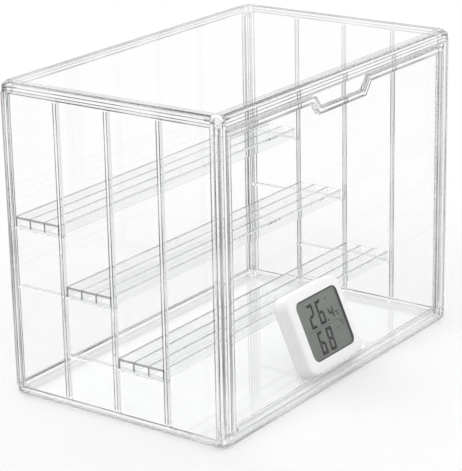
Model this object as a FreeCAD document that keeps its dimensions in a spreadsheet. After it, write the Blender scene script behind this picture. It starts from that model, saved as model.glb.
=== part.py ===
import FreeCAD
import Part
import Sketcher
import os
import re

# Tabletop mini greenhouse: a clear case of five panels on eight corner connectors, with a
# drop-front door, three stepped shelves and a small climate gauge standing on the floor.
# X runs across the door, Y from front to back and Z up. The origin is under the middle of the
# case, on the surface it stands on. Sizes are millimetres and degrees.

SIZES = {
    # Case
    "case_width": 320.0,
    "case_depth": 200.0,
    "case_height": 250.0,
    "wall": 2.0,
    "seam": 0.1,
    "edge_round": 2.5,
    "skirt_thickness": 3.2,
    "skirt_height": 7.0,
    "front_lip_height": 10.0,
    "foot_height": 1.0,
    "base_height": 5.0,
    "base_plate": 2.2,
    "back_rim_width": 7.0,
    "back_rim_height": 4.0,
    "overcut": 5.0,
    # Corner connectors
    "corner_size": 7.8,
    "corner_round": 4.5,
    "peg_radius": 0.9,
    "peg_length": 5.0,
    "peg_clearance": 0.05,
    "side_peg_inset": 2.2,
    "back_peg_inset": 4.0,
    # Side panels
    "rear_bar_width": 3.7,
    "rear_bar_thickness": 4.5,
    "post_width": 7.0,
    "post_depth": 7.5,
    "stop_reach": 10.5,
    "stop_rise": 5.0,
    "rib_width": 2.6,
    "rib_height": 3.0,
    "ledge_reach": 5.0,
    "ledge_thickness": 1.6,
    # Door
    "door_thickness": 4.4,
    "door_inset": 0.2,
    "door_stop_gap": 0.2,
    "door_side_gap": 1.8,
    "door_top_gap": 2.0,
    "door_bottom_gap": 2.5,
    "door_pane": 2.0,
    "door_rim": 5.0,
    "door_corner_round": 3.0,
    "notch_top_width": 75.0,
    "notch_bottom_width": 59.0,
    "notch_depth": 10.0,
    "notch_round": 1.5,
    "hinge_pin_radius": 1.5,
    "hinge_seat_depth": 8.0,
    "hinge_bore_depth": 3.2,
    "hinge_end_gap": 0.3,
    "hinge_clearance": 0.05,
    "pin_seat_clearance": 0.02,
    "pin_chamfer": 0.3,
    # Shelves
    "first_shelf_top": 51.5,
    "shelf_step": 47.3,
    "shelf_height": 8.0,
    "shelf_plate": 1.8,
    "shelf_web": 1.6,
    "shelf_bay_gap": 0.7,
    "shelf_end_gap": 0.7,
    "shelf_seat_gap": 0.1,
    # Climate gauge
    "gauge_x": 6.6,
    "gauge_setback": 3.3,
    "gauge_lean": 24.0,
    "gauge_seat_gap": 0.2,
    "gauge_width": 73.4,
    "gauge_height": 68.0,
    "gauge_thickness": 17.0,
    "gauge_corner": 10.0,
    "gauge_front_round": 3.0,
    "gauge_back_round": 3.5,
    "gauge_wall": 1.8,
    "front_shell_depth": 10.0,
    "window_width": 57.8,
    "window_height": 49.6,
    "window_low": 10.6,
    "window_corner": 6.0,
    "window_recess": 0.9,
    "window_gap": 0.1,
    "display_overlap": 0.7,
    "display_thickness": 2.5,
    "board_width": 58.0,
    "board_height": 50.0,
    "board_thickness": 1.2,
    "screw_u": 24.0,
    "screw_low": 6.3,
    "screw_high": 63.5,
    "screw_radius": 0.9,
    "screw_head_radius": 1.7,
    "screw_head_height": 1.2,
    "screw_head_sink": 1.6,
    "screw_bite": 4.6,
    "screw_clearance": 0.1,
    "boss_radius": 2.3,
    "vent_width": 1.2,
    "vent_length": 3.0,
    "vent_pitch": 3.0,
    "vent_count": 5,
    "sensor_size": 3.0,
    "sensor_height": 1.0,
    "sensor_v": 56.0,
    "cell_u": 20.6,
    "cell_v": 24.0,
    "cell_radius": 8.0,
    "cell_thickness": 3.2,
    "cell_gap": 0.05,
    "holder_wall": 1.05,
    "holder_floor": 3.6,
    "holder_clearance": 0.15,
    "contact_width": 5.0,
    "contact_length": 13.0,
    "contact_thickness": 0.3,
    "cover_radius": 10.0,
    "cover_thickness": 0.95,
    "cover_clearance": 0.15,
    "cover_boss_wall": 1.5,
    "button_u": 20.0,
    "button_v": 50.0,
    "button_radius": 3.5,
    "button_gap": 0.3,
    "button_flange": 1.1,
    "button_flange_height": 0.8,
    "button_proud": 0.3,
    "button_travel": 0.6,
    "switch_size": 6.0,
    "switch_height": 3.3,
    "plunger_radius": 1.6,
    "plunger_height": 0.7,
    "stand_width": 14.0,
    "stand_gap": 0.4,
    "stand_thickness": 2.4,
    "stand_barrel_radius": 2.0,
    "stand_pin_radius": 1.0,
    "stand_pin_clearance": 0.05,
    "stand_pivot_v": 50.0,
    "stand_pivot_depth": 2.1,
    "stand_foot_radius": 1.2,
    "stand_floor_gap": 0.2,
    "stand_well_wall": 1.8,
    "stand_well_floor": 1.2,
}

# Places that follow from the sizes
DERIVED = {
    "half_width": "case_width / 2",
    "half_depth": "case_depth / 2",
    "base_top": "foot_height + base_height",
    "floor_top": "foot_height + base_plate",
    "panel_low": "base_top + seam",
    "panel_high": "case_height - skirt_height - seam",
    "notch_size": "corner_size + seam",
    "peg_hole": "peg_radius + peg_clearance",
    "side_back": "half_depth - skirt_thickness - seam",
    "bay_front": "post_depth - half_depth",
    "bay_back": "side_back - rear_bar_width",
    "bay_pitch": "(bay_back - bay_front + rib_width) / 4",
    "first_rib": "bay_front - rib_width / 2 + bay_pitch",
    "side_peg_x": "half_width - side_peg_inset",
    "side_peg_y": "side_back - rear_bar_width / 2",
    "back_peg_x": "half_width - back_peg_inset",
    "skirt_middle_x": "half_width - skirt_thickness / 2",
    "skirt_middle_y": "half_depth - skirt_thickness / 2",
    "base_middle": "foot_height + base_height / 2",
    "skirt_middle": "case_height - skirt_height / 2",
    "post_inner": "half_width - post_width",
    "door_half": "post_inner - door_side_gap",
    "door_front": "door_inset - half_depth",
    "door_back": "door_front + door_thickness",
    "door_low": "base_top + door_bottom_gap",
    "door_high": "case_height - front_lip_height - door_top_gap",
    "notch_low": "door_high - notch_depth",
    "notch_slope": "(notch_top_width - notch_bottom_width) / 2 / notch_depth",
    "notch_rim_shift": "door_rim * sqrt(1 + notch_slope ^ 2)",
    "hinge_y": "door_front + door_thickness / 2",
    "hinge_z": "door_low + door_rim / 2",
    "hinge_pin_length": "hinge_seat_depth + door_side_gap + hinge_bore_depth - hinge_end_gap",
    "shelf_depth": "bay_pitch - rib_width - 2 * shelf_bay_gap",
    "shelf_half": "half_width - wall - shelf_end_gap",
    "shelf_cell": "(shelf_depth - shelf_web) / 3",
    "gauge_y": "door_back + gauge_setback",
    "gauge_z": "floor_top + gauge_seat_gap + gauge_back_round * (1 - cos(gauge_lean))"
               " + (gauge_thickness - gauge_back_round) * sin(gauge_lean)",
    "window_high": "window_low + window_height",
    "display_front": "gauge_wall + window_gap",
    "board_front": "display_front + display_thickness + window_gap",
    "board_back": "board_front + board_thickness",
    "board_low": "(window_low + window_high - board_height) / 2",
    "back_inner": "gauge_thickness - gauge_wall",
    "back_shell_front": "front_shell_depth + seam",
    "holder_radius": "cell_radius + holder_clearance + holder_wall",
    "holder_seat": "board_back + holder_floor",
    "cell_front": "holder_seat + contact_thickness + cell_gap",
    "cell_back": "cell_front + cell_thickness",
    "cover_seat": "gauge_thickness - cover_thickness - cell_gap",
    "cover_boss_radius": "cell_radius + cover_clearance",
    "cover_boss_front": "cell_back + button_gap",
    "plunger_top": "board_back + switch_height + plunger_height",
    "button_tip": "plunger_top + button_travel + stand_floor_gap",
    "button_flange_back": "back_inner - button_gap",
    "stand_pivot_n": "gauge_thickness - stand_pivot_depth",
    "stand_pivot_y": "gauge_y + stand_pivot_v * sin(gauge_lean) + stand_pivot_n * cos(gauge_lean)",
    "stand_pivot_z": "gauge_z + stand_pivot_v * cos(gauge_lean) - stand_pivot_n * sin(gauge_lean)",
    "stand_length": "stand_pivot_z - floor_top - stand_floor_gap - stand_foot_radius",
    "stand_well_depth": "stand_pivot_depth + stand_barrel_radius + stand_gap",
    "stand_well_half": "stand_width / 2 + stand_gap",
    "stand_well_low": "stand_pivot_v - stand_length - stand_foot_radius - stand_gap",
    "stand_well_high": "stand_pivot_v + stand_barrel_radius + stand_gap",
}

WORD = re.compile(r"[A-Za-z_]\w*")
SIDES = {"left": -1, "right": 1}
ENDS = {"front": -1, "back": 1}
SHELVES = ("lower", "middle", "upper")
RIB_COUNT = 3

doc = FreeCAD.newDocument("mini_greenhouse")
sheet = doc.addObject("Spreadsheet::Sheet", "Sizes")
for row, (size_name, size_value) in enumerate(SIZES.items(), start=1):
    sheet.set(f"A{row}", size_name)
    sheet.set(f"B{row}", str(size_value))
    sheet.setAlias(f"B{row}", size_name)
doc.recompute()

subparts = []


# Expressions


def flat(expression):
    """Write an expression in driving sizes alone, with each derived place put in brackets."""
    def swap(match):
        word = match.group(0)
        return f"({flat(DERIVED[word])})" if word in DERIVED else word
    return WORD.sub(swap, str(expression))


def bound(expression):
    """Name the sheet before each size, as a document object's expression needs."""
    def swap(match):
        word = match.group(0)
        return f"Sizes.{word}" if word in SIZES else word
    return WORD.sub(swap, flat(expression))


def number(expression):
    """Work out an expression's present value."""
    value = sheet.evalExpression(flat(expression))
    return float(getattr(value, "Value", value))


def mirrored(sign, near, far):
    """Give the low and high ends of a span that lies between near and far on one side of zero."""
    return (f"-({far})", f"-({near})") if sign < 0 else (near, far)


def place(item, point, axis=None, angle=None):
    """Bind an object's position, and its turn about a fixed axis, to expressions."""
    if axis is not None:
        item.Placement = FreeCAD.Placement(FreeCAD.Vector(), FreeCAD.Rotation(FreeCAD.Vector(*axis), 1))
        item.setExpression(".Placement.Rotation.Angle", bound(angle))
    for letter, expression in zip("xyz", point):
        item.setExpression(f".Placement.Base.{letter}", bound(expression))


def keep(item, label):
    """Name a finished sub-part."""
    item.Label = label
    subparts.append(item)


# Part primitives and booleans


def block(name, x_span, y_span, z_span):
    """Make a box between low and high expressions."""
    box = doc.addObject("Part::Box", name)
    for side, (low, high) in zip(("Length", "Width", "Height"), (x_span, y_span, z_span)):
        box.setExpression(side, bound(f"({high}) - ({low})"))
    place(box, (x_span[0], y_span[0], z_span[0]))
    return box


def rod(name, radius, start, axis, length):
    """Make a cylinder from a start point along +X, -X, +Y, -Y, +Z or -Z."""
    turns = {"+X": ((0, 1, 0), 90), "-X": ((0, -1, 0), 90), "+Y": ((-1, 0, 0), 90),
             "-Y": ((1, 0, 0), 90), "+Z": ((0, 0, 1), 0), "-Z": ((1, 0, 0), 180)}
    cylinder = doc.addObject("Part::Cylinder", name)
    cylinder.setExpression("Radius", bound(radius))
    cylinder.setExpression("Height", bound(length))
    place(cylinder, start, *turns[axis])
    return cylinder


def fuse(name, pieces):
    """Join touching pieces into one solid."""
    union = doc.addObject("Part::MultiFuse", name)
    union.Shapes = pieces
    union.Refine = True
    return union


def cut(name, base, tools):
    """Take the tools out of a base solid."""
    result = doc.addObject("Part::Cut", name)
    result.Base = base
    result.Tool = fuse(f"{name}_tools", tools) if len(tools) > 1 else tools[0]
    return result


def trim(name, solid, envelope):
    """Keep what lies inside a rounded envelope."""
    result = doc.addObject("Part::Common", name)
    result.Base = solid
    result.Tool = envelope
    return result


# Sketches and body features


def sketch_on(body, name, role, offset="0"):
    """Start a sketch on one of the body's own origin planes, moved along the plane's normal."""
    plane = next(item for item in body.Origin.OriginFeatures if item.Role == role)
    sketch = body.newObject("Sketcher::SketchObject", name)
    sketch.AttachmentSupport = [(plane, "")]
    sketch.MapMode = "FlatFace"
    sketch.setExpression(".AttachmentOffset.Base.z", bound(offset))
    return sketch


def dimension(sketch, constraint, expression):
    """Add a driving dimension and bind it."""
    index = sketch.addConstraint(constraint)
    sketch.setExpression(f"Constraints[{index}]", bound(expression))


def fix_point(sketch, geometry, position, point):
    """Dimension one point of a sketch from its origin."""
    for kind, expression in zip(("DistanceX", "DistanceY"), point):
        value = number(expression)
        dimension(sketch, Sketcher.Constraint(kind, -1, 1, geometry, position, value), expression)


def polygon(sketch, points):
    """Draw a closed outline of straight lines through expression points."""
    corners = [FreeCAD.Vector(number(x), number(y), 0) for x, y in points]
    first = sketch.GeometryCount
    count = len(corners)
    for index in range(count):
        sketch.addGeometry(Part.LineSegment(corners[index], corners[(index + 1) % count]), False)
    for index in range(count):
        following = first + (index + 1) % count
        sketch.addConstraint(Sketcher.Constraint("Coincident", first + index, 2, following, 1))
    for index, point in enumerate(points):
        fix_point(sketch, first + index, 1, point)


def rectangle(sketch, left, right, low, high):
    """Draw a rectangle."""
    polygon(sketch, [(left, low), (right, low), (right, high), (left, high)])


def circle(sketch, centre, radius):
    """Draw a circle."""
    middle = FreeCAD.Vector(number(centre[0]), number(centre[1]), 0)
    index = sketch.addGeometry(Part.Circle(middle, FreeCAD.Vector(0, 0, 1), number(radius)), False)
    dimension(sketch, Sketcher.Constraint("Radius", index, number(radius)), radius)
    fix_point(sketch, index, 3, centre)


def rounded_rectangle(sketch, left, right, low, high, radius):
    """Draw a rectangle whose corners are tangent arcs."""
    round_size = number(radius)
    centres = [(f"({right}) - ({radius})", f"({low}) + ({radius})"),
               (f"({right}) - ({radius})", f"({high}) - ({radius})"),
               (f"({left}) + ({radius})", f"({high}) - ({radius})"),
               (f"({left}) + ({radius})", f"({low}) + ({radius})")]
    middles = [FreeCAD.Vector(number(x), number(y), 0) for x, y in centres]
    outward = [FreeCAD.Vector(0, -1, 0), FreeCAD.Vector(1, 0, 0), FreeCAD.Vector(0, 1, 0),
               FreeCAD.Vector(-1, 0, 0)]
    first = sketch.GeometryCount
    for index in range(4):
        before = middles[index - 1] + outward[index] * round_size
        start = middles[index] + outward[index] * round_size
        end = middles[index] + outward[(index + 1) % 4] * round_size
        diagonal = (outward[index] + outward[(index + 1) % 4]).normalize()
        sketch.addGeometry(Part.LineSegment(before, start), False)
        sketch.addGeometry(Part.Arc(start, middles[index] + diagonal * round_size, end), False)
    for index in range(4):
        line = first + 2 * index
        following = first + (2 * index + 2) % 8
        sketch.addConstraint(Sketcher.Constraint("Tangent", line, 2, line + 1, 1))
        sketch.addConstraint(Sketcher.Constraint("Tangent", line + 1, 2, following, 1))
    for index in range(4):
        arc = first + 2 * index + 1
        dimension(sketch, Sketcher.Constraint("Radius", arc, round_size), radius)
        fix_point(sketch, arc, 3, centres[index])


def pad(body, sketch, length, towards_back=False, both_ways=False):
    """Pull a sketch into a solid."""
    feature = body.newObject("PartDesign::Pad", f"{sketch.Name}_pad")
    feature.Profile = sketch
    feature.setExpression("Length", bound(length))
    feature.Reversed = towards_back
    feature.Midplane = both_ways
    return feature


def pocket(body, sketch, length, other_way=False):
    """Cut a sketch into the body, against the sketch's normal unless told the other way."""
    feature = body.newObject("PartDesign::Pocket", f"{sketch.Name}_pocket")
    feature.Profile = sketch
    feature.setExpression("Length", bound(length))
    feature.Reversed = other_way
    return feature


def round_edges(body, feature, radius, wanted):
    """Round the edges of a feature that the wanted test picks."""
    doc.recompute()
    names = [f"Edge{index}" for index, edge in enumerate(feature.Shape.Edges, start=1) if wanted(edge)]
    fillet = body.newObject("PartDesign::Fillet", f"{feature.Name}_round")
    fillet.Base = (feature, names)
    fillet.setExpression("Radius", bound(radius))
    return fillet


def turned(name, profile):
    """Turn a profile of radius and height points about the body's Z axis."""
    body = doc.addObject("PartDesign::Body", name)
    sketch = sketch_on(body, f"{name}_profile", "XZ_Plane")
    polygon(sketch, profile)
    feature = body.newObject("PartDesign::Revolution", f"{name}_turn")
    feature.Profile = sketch
    feature.ReferenceAxis = (sketch, ["V_Axis"])
    feature.Angle = 360
    return body


def rounded_box(name, z_low, z_high, radius):
    """Make the case's outer box with every edge rounded."""
    body = doc.addObject("PartDesign::Body", name)
    sketch = sketch_on(body, f"{name}_outline", "XY_Plane", z_low)
    rectangle(sketch, "-half_width", "half_width", "-half_depth", "half_depth")
    solid = pad(body, sketch, f"({z_high}) - ({z_low})")
    round_edges(body, solid, radius, lambda edge: True)
    return body


# Case


def corner_notches(name):
    """Make the eight cubes that the corner connectors take out of the panels."""
    cubes = []
    for side, x_sign in SIDES.items():
        for end, y_sign in ENDS.items():
            x_span = mirrored(x_sign, "half_width - notch_size", "half_width + overcut")
            y_span = mirrored(y_sign, "half_depth - notch_size", "half_depth + overcut")
            cubes.append(block(f"{name}_{end}_{side}_low", x_span, y_span, ("-overcut", "notch_size")))
            cubes.append(block(f"{name}_{end}_{side}_high", x_span, y_span,
                               ("case_height - notch_size", "case_height + overcut")))
    return cubes


def skirt_peg_holes(name, level):
    """Make the peg holes that run along a panel's four skirts from its corner notches."""
    holes = []
    for side, x_sign in SIDES.items():
        for end, y_sign in ENDS.items():
            label = f"{name}_{end}_{side}"
            along_x = (f"{x_sign} * (half_width - corner_size)", f"{y_sign} * skirt_middle_y", level)
            along_y = (f"{x_sign} * skirt_middle_x", f"{y_sign} * (half_depth - corner_size)", level)
            length = "peg_length + seam"
            holes.append(rod(f"{label}_x", "peg_hole", along_x, "-X" if x_sign > 0 else "+X", length))
            holes.append(rod(f"{label}_y", "peg_hole", along_y, "-Y" if y_sign > 0 else "+Y", length))
    return holes


def upright_peg_holes(name, points):
    """Make the peg holes that run up and down a panel from its corner notches."""
    holes = []
    for index, (x, y) in enumerate(points):
        low = rod(f"{name}_{index}_low", "peg_hole", (x, y, "corner_size"), "+Z", "peg_length + seam")
        high = rod(f"{name}_{index}_high", "peg_hole", (x, y, "case_height - corner_size"), "-Z",
                   "peg_length + seam")
        holes += [low, high]
    return holes


def base_panel(envelope):
    """Floor tray: a plate with an upturned rim."""
    slab = block("base_slab", ("-half_width", "half_width"), ("-half_depth", "half_depth"),
                 ("foot_height", "base_top"))
    inside = block("base_inside", ("skirt_thickness - half_width", "half_width - skirt_thickness"),
                   ("skirt_thickness - half_depth", "half_depth - skirt_thickness"),
                   ("floor_top", "base_top + overcut"))
    tools = [inside] + corner_notches("base_notch") + skirt_peg_holes("base_peg", "base_middle")
    keep(trim("base_panel", cut("base_tray", slab, tools), envelope), "base_panel")


def top_panel(envelope):
    """Cover: a plate with a skirt, and a deeper lip over the door."""
    slab = block("top_slab", ("-half_width", "half_width"), ("-half_depth", "half_depth"),
                 ("case_height - skirt_height", "case_height"))
    lip = block("top_lip", ("seam - post_inner", "post_inner - seam"),
                ("-half_depth", "skirt_thickness - half_depth"),
                ("case_height - front_lip_height", "skirt_middle"))
    inside = block("top_inside", ("skirt_thickness - half_width", "half_width - skirt_thickness"),
                   ("skirt_thickness - half_depth", "half_depth - skirt_thickness"),
                   ("case_height - skirt_height - overcut", "case_height - wall"))
    tools = [inside] + corner_notches("top_notch") + skirt_peg_holes("top_peg", "skirt_middle")
    cover = cut("top_cover", fuse("top_moulding", [slab, lip]), tools)
    keep(trim("top_panel", cover, envelope), "top_panel")


def back_panel(envelope):
    """Rear wall with a thicker rim along its four edges."""
    full_width = ("-half_width", "half_width")
    rim_depth = ("half_depth - skirt_thickness", "half_depth")
    pieces = [block("back_plate", full_width, ("half_depth - wall", "half_depth"), ("panel_low", "panel_high")),
              block("back_sill", full_width, rim_depth, ("panel_low", "panel_low + back_rim_height")),
              block("back_head", full_width, rim_depth, ("panel_high - back_rim_height", "panel_high"))]
    for side, sign in SIDES.items():
        pieces.append(block(f"back_{side}_rim", mirrored(sign, "half_width - back_rim_width", "half_width"),
                            rim_depth, ("panel_low", "panel_high")))
    pegs = upright_peg_holes("back_peg", [(f"{sign} * back_peg_x", "skirt_middle_y") for sign in SIDES.values()])
    wall = cut("back_wall", fuse("back_moulding", pieces), corner_notches("back_notch") + pegs)
    keep(trim("back_panel", wall, envelope), "back_panel")


def side_panel(side, sign, envelope):
    """Side wall with upright ribs, shelf ledges, a rear bar and the door post with its stop."""
    def across(near, far):
        return mirrored(sign, f"half_width - ({near})", f"half_width - ({far})")

    full_height = ("panel_low", "panel_high")
    name = f"{side}_side"
    pieces = [block(f"{name}_plate", across("wall", "0"), ("-half_depth", "side_back"), full_height),
              block(f"{name}_rear_bar", across("rear_bar_thickness", "0"), ("bay_back", "side_back"), full_height),
              block(f"{name}_post", across("post_width", "0"), ("-half_depth", "bay_front"), full_height),
              block(f"{name}_stop", across("stop_reach", "0"), ("door_back + door_stop_gap", "bay_front"),
                    ("hinge_z + stop_rise", "panel_high"))]
    for index in range(RIB_COUNT):
        middle = f"first_rib + {index} * bay_pitch"
        pieces.append(block(f"{name}_rib_{index}", across("wall + rib_height", "0"),
                            (f"{middle} - rib_width / 2", f"{middle} + rib_width / 2"), full_height))
    for index, shelf in enumerate(SHELVES):
        top = f"first_shelf_top + {index} * shelf_step - shelf_height - shelf_seat_gap"
        front = f"first_rib + {index} * bay_pitch"
        back = f"first_rib + {index + 2} * bay_pitch" if index + 2 < RIB_COUNT else "bay_back"
        pieces.append(block(f"{name}_{shelf}_ledge", across("wall + ledge_reach", "0"), (front, back),
                            (f"{top} - ledge_thickness", top)))
    pegs = upright_peg_holes(f"{name}_peg", [(f"{sign} * side_peg_x", f"{end} * side_peg_y") for end in ENDS.values()])
    hinge_bore = rod(f"{name}_hinge_bore", "hinge_pin_radius + hinge_clearance",
                     (f"{sign} * (post_inner - overcut)", "hinge_y", "hinge_z"), "+X" if sign > 0 else "-X",
                     "overcut + hinge_bore_depth")
    moulding = fuse(f"{name}_moulding", pieces)
    wall = cut(f"{name}_wall", moulding, corner_notches(f"{name}_notch") + pegs + [hinge_bore])
    keep(trim(f"{name}_panel", wall, envelope), f"{name}_panel")


def corner_connector(side, x_sign, end, y_sign, level, envelope):
    """Rounded corner block whose pegs plug into the panels; the lower ones are the feet."""
    name = f"corner_{end}_{side}_{level}"
    top = level == "top"
    z_span = ("case_height - corner_size", "case_height") if top else ("0", "corner_size")
    cube = block(f"{name}_cube", mirrored(x_sign, "half_width - corner_size", "half_width"),
                 mirrored(y_sign, "half_depth - corner_size", "half_depth"), z_span)
    inner_x = f"{x_sign} * (half_width - corner_size)"
    inner_y = f"{y_sign} * (half_depth - corner_size)"
    skirt_level = "skirt_middle" if top else "base_middle"
    inner_z = z_span[0] if top else z_span[1]
    upright = "-Z" if top else "+Z"
    pegs = [rod(f"{name}_peg_x", "peg_radius", (inner_x, f"{y_sign} * skirt_middle_y", skirt_level),
                "-X" if x_sign > 0 else "+X", "peg_length"),
            rod(f"{name}_peg_y", "peg_radius", (f"{x_sign} * skirt_middle_x", inner_y, skirt_level),
                "-Y" if y_sign > 0 else "+Y", "peg_length"),
            rod(f"{name}_peg_side", "peg_radius", (f"{x_sign} * side_peg_x", f"{y_sign} * side_peg_y", inner_z),
                upright, "peg_length")]
    if end == "back":
        pegs.append(rod(f"{name}_peg_back", "peg_radius", (f"{x_sign} * back_peg_x", "skirt_middle_y", inner_z),
                        upright, "peg_length"))
    rounded = trim(f"{name}_rounded", cube, envelope)
    keep(fuse(name, [rounded] + pegs), name)


# Door


def front_door():
    """Clear pane with a raised rim that follows the finger notch in its top edge."""
    body = doc.addObject("PartDesign::Body", "front_door")
    outline = sketch_on(body, "door_outline", "XZ_Plane", "-door_front")
    polygon(outline, [("-door_half", "door_low"), ("door_half", "door_low"), ("door_half", "door_high"),
                      ("notch_top_width / 2", "door_high"), ("notch_bottom_width / 2", "notch_low"),
                      ("-notch_bottom_width / 2", "notch_low"), ("-notch_top_width / 2", "door_high"),
                      ("-door_half", "door_high")])
    slab = pad(body, outline, "door_thickness", towards_back=True)

    def runs_through(edge):
        return edge.BoundBox.YLength > number("door_thickness") / 2

    def at_corner(edge):
        return runs_through(edge) and edge.BoundBox.XMin ** 2 > number("notch_top_width") ** 2

    def at_notch(edge):
        return runs_through(edge) and edge.BoundBox.XMin ** 2 < number("notch_top_width") ** 2

    rounded = round_edges(body, slab, "door_corner_round", at_corner)
    rounded = round_edges(body, rounded, "notch_round", at_notch)
    pane = sketch_on(body, "door_pane_outline", "XZ_Plane", "-door_front")
    rim_low = "door_low + door_rim"
    rim_high = "door_high - door_rim"
    rim_notch = "notch_low - door_rim"
    rim_side = "door_half - door_rim"
    slant_top = "notch_bottom_width / 2 + notch_rim_shift + (notch_depth - door_rim) * notch_slope"
    slant_low = "notch_bottom_width / 2 + notch_rim_shift - door_rim * notch_slope"
    polygon(pane, [(f"-({rim_side})", rim_low), (rim_side, rim_low), (rim_side, rim_high), (slant_top, rim_high),
                   (slant_low, rim_notch), (f"-({slant_low})", rim_notch), (f"-({slant_top})", rim_high),
                   (f"-({rim_side})", rim_high)])
    pocket(body, pane, "door_thickness - door_pane")
    for side, sign in SIDES.items():
        seat = sketch_on(body, f"door_{side}_pin_seat", "YZ_Plane", f"{sign} * door_half")
        circle(seat, ("hinge_y", "hinge_z"), "hinge_pin_radius + pin_seat_clearance")
        pocket(body, seat, "hinge_seat_depth", other_way=sign < 0)
    keep(body, "front_door")


def straight_pin(name, radius, length):
    """Turned pin with chamfered ends, from the origin up."""
    return turned(name, [("0", "0"), (f"({radius}) - pin_chamfer", "0"), (radius, "pin_chamfer"),
                         (radius, f"({length}) - pin_chamfer"), (f"({radius}) - pin_chamfer", length),
                         ("0", length)])


def hinge_pin(side, sign):
    """Pin pressed into the door's lower corner, turning in the door post."""
    name = f"door_hinge_pin_{side}"
    pin = straight_pin(name, "hinge_pin_radius", "hinge_pin_length")
    start = f"{sign} * (door_half - hinge_seat_depth)"
    place(pin, (start, "hinge_y", "hinge_z"), (0, sign, 0), "90")
    keep(pin, name)


# Shelves


def shelf(index, name):
    """Ribbed plank: a plate on four webs that run its whole length."""
    body = doc.addObject("PartDesign::Body", f"{name}_shelf")
    profile = sketch_on(body, f"{name}_shelf_profile", "YZ_Plane")
    front = "-shelf_depth / 2"
    under = "shelf_height - shelf_plate"
    points = [("shelf_depth / 2", "shelf_height"), (front, "shelf_height"), (front, "0"),
              (f"{front} + shelf_web", "0"), (f"{front} + shelf_web", under)]
    for web in (1, 2):
        start = f"{front} + {web} * shelf_cell"
        points += [(start, under), (start, "0"), (f"{start} + shelf_web", "0"), (f"{start} + shelf_web", under)]
    points += [("shelf_depth / 2 - shelf_web", under), ("shelf_depth / 2 - shelf_web", "0"),
               ("shelf_depth / 2", "0")]
    polygon(profile, points)
    pad(body, profile, "2 * shelf_half", both_ways=True)
    middle = f"first_rib + {index + 0.5} * bay_pitch"
    place(body, ("0", middle, f"first_shelf_top + {index} * shelf_step - shelf_height"))
    keep(body, f"{name}_shelf")


# Climate gauge, drawn upright: X across, Z up its face and Y from its face to its back


def gauge_point(across, up, depth):
    """Turn a place on the upright gauge into a place in the case."""
    return (f"gauge_x + ({across})",
            f"gauge_y + ({up}) * sin(gauge_lean) + ({depth}) * cos(gauge_lean)",
            f"gauge_z + ({up}) * cos(gauge_lean) - ({depth}) * sin(gauge_lean)")


def lean_back(body):
    """Stand a body that was drawn upright on the floor, leaning back."""
    place(body, gauge_point("0", "0", "0"), (-1, 0, 0), "gauge_lean")


def gauge_block(name, across, up, depth):
    """Make a box in the leaning gauge."""
    box = block(name, across, depth, up)
    place(box, gauge_point(across[0], up[0], depth[0]), (-1, 0, 0), "gauge_lean")
    return box


def gauge_turned(name, profile, across, up):
    """Make a turned piece whose axis runs from the gauge's face to its back."""
    body = turned(name, profile)
    place(body, gauge_point(across, up, "0"), (-1, 0, 0), "90 + gauge_lean")
    return body


def shell_outline(sketch, inset):
    """Draw the gauge's rounded outline, moved in by an inset."""
    rounded_rectangle(sketch, f"{inset} - gauge_width / 2", f"gauge_width / 2 - ({inset})", inset,
                      f"gauge_height - ({inset})", f"gauge_corner - ({inset})")


def screw_circles(sketch, radius):
    """Draw a circle at each of the four screw places."""
    for sign in SIDES.values():
        for height in ("screw_low", "screw_high"):
            circle(sketch, (f"{sign} * screw_u", height), radius)


def on_level(depth):
    """Give a test for edges that lie at one depth."""
    level = number(depth)

    def test(edge):
        return abs(edge.BoundBox.YMin - level) < 1e-4 and abs(edge.BoundBox.YMax - level) < 1e-4
    return test


def gauge_front_shell():
    """Front half of the gauge's case, with the window opening and screw bosses."""
    body = doc.addObject("PartDesign::Body", "gauge_front_shell")
    outline = sketch_on(body, "front_outline", "XZ_Plane")
    shell_outline(outline, "0")
    block_out = pad(body, outline, "front_shell_depth", towards_back=True)
    round_edges(body, block_out, "gauge_front_round", on_level("0"))
    inside = sketch_on(body, "front_inside", "XZ_Plane", "-gauge_wall")
    shell_outline(inside, "gauge_wall")
    pocket(body, inside, "front_shell_depth")
    opening = sketch_on(body, "window_opening", "XZ_Plane")
    rounded_rectangle(opening, "-window_width / 2", "window_width / 2", "window_low", "window_high", "window_corner")
    pocket(body, opening, "2 * gauge_wall")
    bosses = sketch_on(body, "front_bosses", "XZ_Plane", "-gauge_wall / 2")
    screw_circles(bosses, "boss_radius")
    pad(body, bosses, "front_shell_depth - gauge_wall / 2", towards_back=True)
    pilots = sketch_on(body, "front_pilots", "XZ_Plane", "-front_shell_depth")
    screw_circles(pilots, "screw_radius + pin_seat_clearance")
    pocket(body, pilots, "screw_bite + seam", other_way=True)
    lean_back(body)
    keep(body, "gauge_front_shell")


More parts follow.
